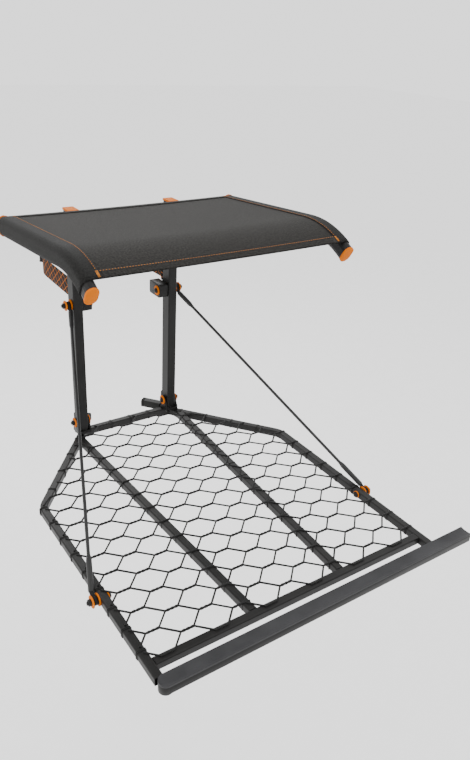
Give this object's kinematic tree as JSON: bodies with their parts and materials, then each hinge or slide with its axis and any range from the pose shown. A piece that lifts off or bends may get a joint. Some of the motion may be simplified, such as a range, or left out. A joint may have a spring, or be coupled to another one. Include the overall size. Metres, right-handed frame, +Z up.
{
  "type": "hang-on tree stand",
  "caption": "Hang-on tree stand: folding wire-deck platform hung on cables from an upright mast, with a flip-up sling seat and a ratcheting trunk strap.",
  "frame": {"origin": "middle of the upper crossbar's rear face, which faces the trunk", "axes": "+Z up the trunk, +Y from the stand towards the trunk, +X to the sitter's left"},
  "size_m": [0.8526, 1.247, 0.6788],
  "materials": {
    "black_powder_coat": "satin",
    "orange_plastic": "satin",
    "black_rubber": "matte",
    "grip_strip": "matte",
    "sling_cloth": "matte",
    "webbing": "matte",
    "cable_steel": "satin",
    "zinc_steel": "satin"
  },
  "bodies": {
    "mast": {"post_left": "black_powder_coat", "post_right": "black_powder_coat", "post_cap_left": "orange_plastic", "post_cap_right": "orange_plastic", "upper_crossbar": "black_powder_coat", "trunk_blade_upper": "black_powder_coat", "trunk_blade_lower": "black_powder_coat", "lower_arm_left": "black_powder_coat", "lower_arm_right": "black_powder_coat", "arm_tip_left": "black_rubber", "arm_tip_right": "black_rubber", "upper_arm_left": "black_powder_coat", "upper_arm_right": "black_powder_coat", "platform_bolt_left": "black_powder_coat", "platform_bolt_right": "black_powder_coat", "seat_bolt_left": "black_powder_coat", "seat_bolt_right": "black_powder_coat", "cable_bolt_upper_left": "black_powder_coat", "cable_bolt_upper_right": "black_powder_coat", "cable_washer_upper_left": "orange_plastic", "cable_washer_upper_right": "orange_plastic", "cable_left": "cable_steel", "cable_right": "cable_steel", "strap_staple_left": "black_powder_coat", "strap_staple_right": "black_powder_coat", "trunk_strap_left": "webbing", "trunk_strap_right": "webbing", "ratchet_frame": "zinc_steel", "ratchet_anchor_pin": "zinc_steel", "ratchet_spool": "zinc_steel"},
    "platform": {"loop_tube": "black_powder_coat", "side_tube_left": "black_powder_coat", "side_tube_right": "black_powder_coat", "front_crossbar": "black_powder_coat", "footrest_tube": "black_powder_coat", "footrest_strip": "grip_strip", "wire_deck": "black_powder_coat", "platform_bracket_left": "black_powder_coat", "platform_bracket_right": "black_powder_coat", "cable_bolt_lower_left": "black_powder_coat", "cable_bolt_lower_right": "black_powder_coat", "cable_washer_lower_left": "orange_plastic", "cable_washer_lower_right": "orange_plastic"},
    "seat": {"seat_rail_left": "black_powder_coat", "seat_rail_right": "black_powder_coat", "rail_cap_front_left": "orange_plastic", "rail_cap_front_right": "orange_plastic", "rail_cap_rear_left": "orange_plastic", "rail_cap_rear_right": "orange_plastic", "seat_tube_rear": "black_powder_coat", "seat_tube_front": "black_powder_coat", "seat_bracket_left": "black_powder_coat", "seat_bracket_right": "black_powder_coat", "seat_sling": "sling_cloth"},
    "handle": {"ratchet_handle": "black_powder_coat"},
    "pawl": {"ratchet_pawl": "zinc_steel"}
  },
  "joints": [
    {"name": "platform_fold", "type": "hinge", "parent": "mast", "child": "platform", "pos_m": [0, -0.0127, -0.492], "axis": [-1, 0, 0], "range_deg": [0, 90], "deforming": ["cable_left", "cable_right"]},
    {"name": "seat_fold", "type": "hinge", "parent": "mast", "child": "seat", "pos_m": [0, -0.0127, 0.077], "axis": [-1, 0, 0], "range_deg": [0, 90]},
    {"name": "ratchet_swing", "type": "hinge", "parent": "mast", "child": "handle", "pos_m": [0, 0.33976, -0.103], "axis": [0, 0, -1], "range_deg": [0, 90]},
    {"name": "pawl_slide", "type": "slide", "parent": "handle", "child": "pawl", "axis": [-1, 0, 0], "range_m": [0, 0.005], "stiffness_N_per_m": 400}
  ],
  "couplings": [
    {"joint": "seat_fold", "follows": "platform_fold", "ratio": 1}
  ]
}
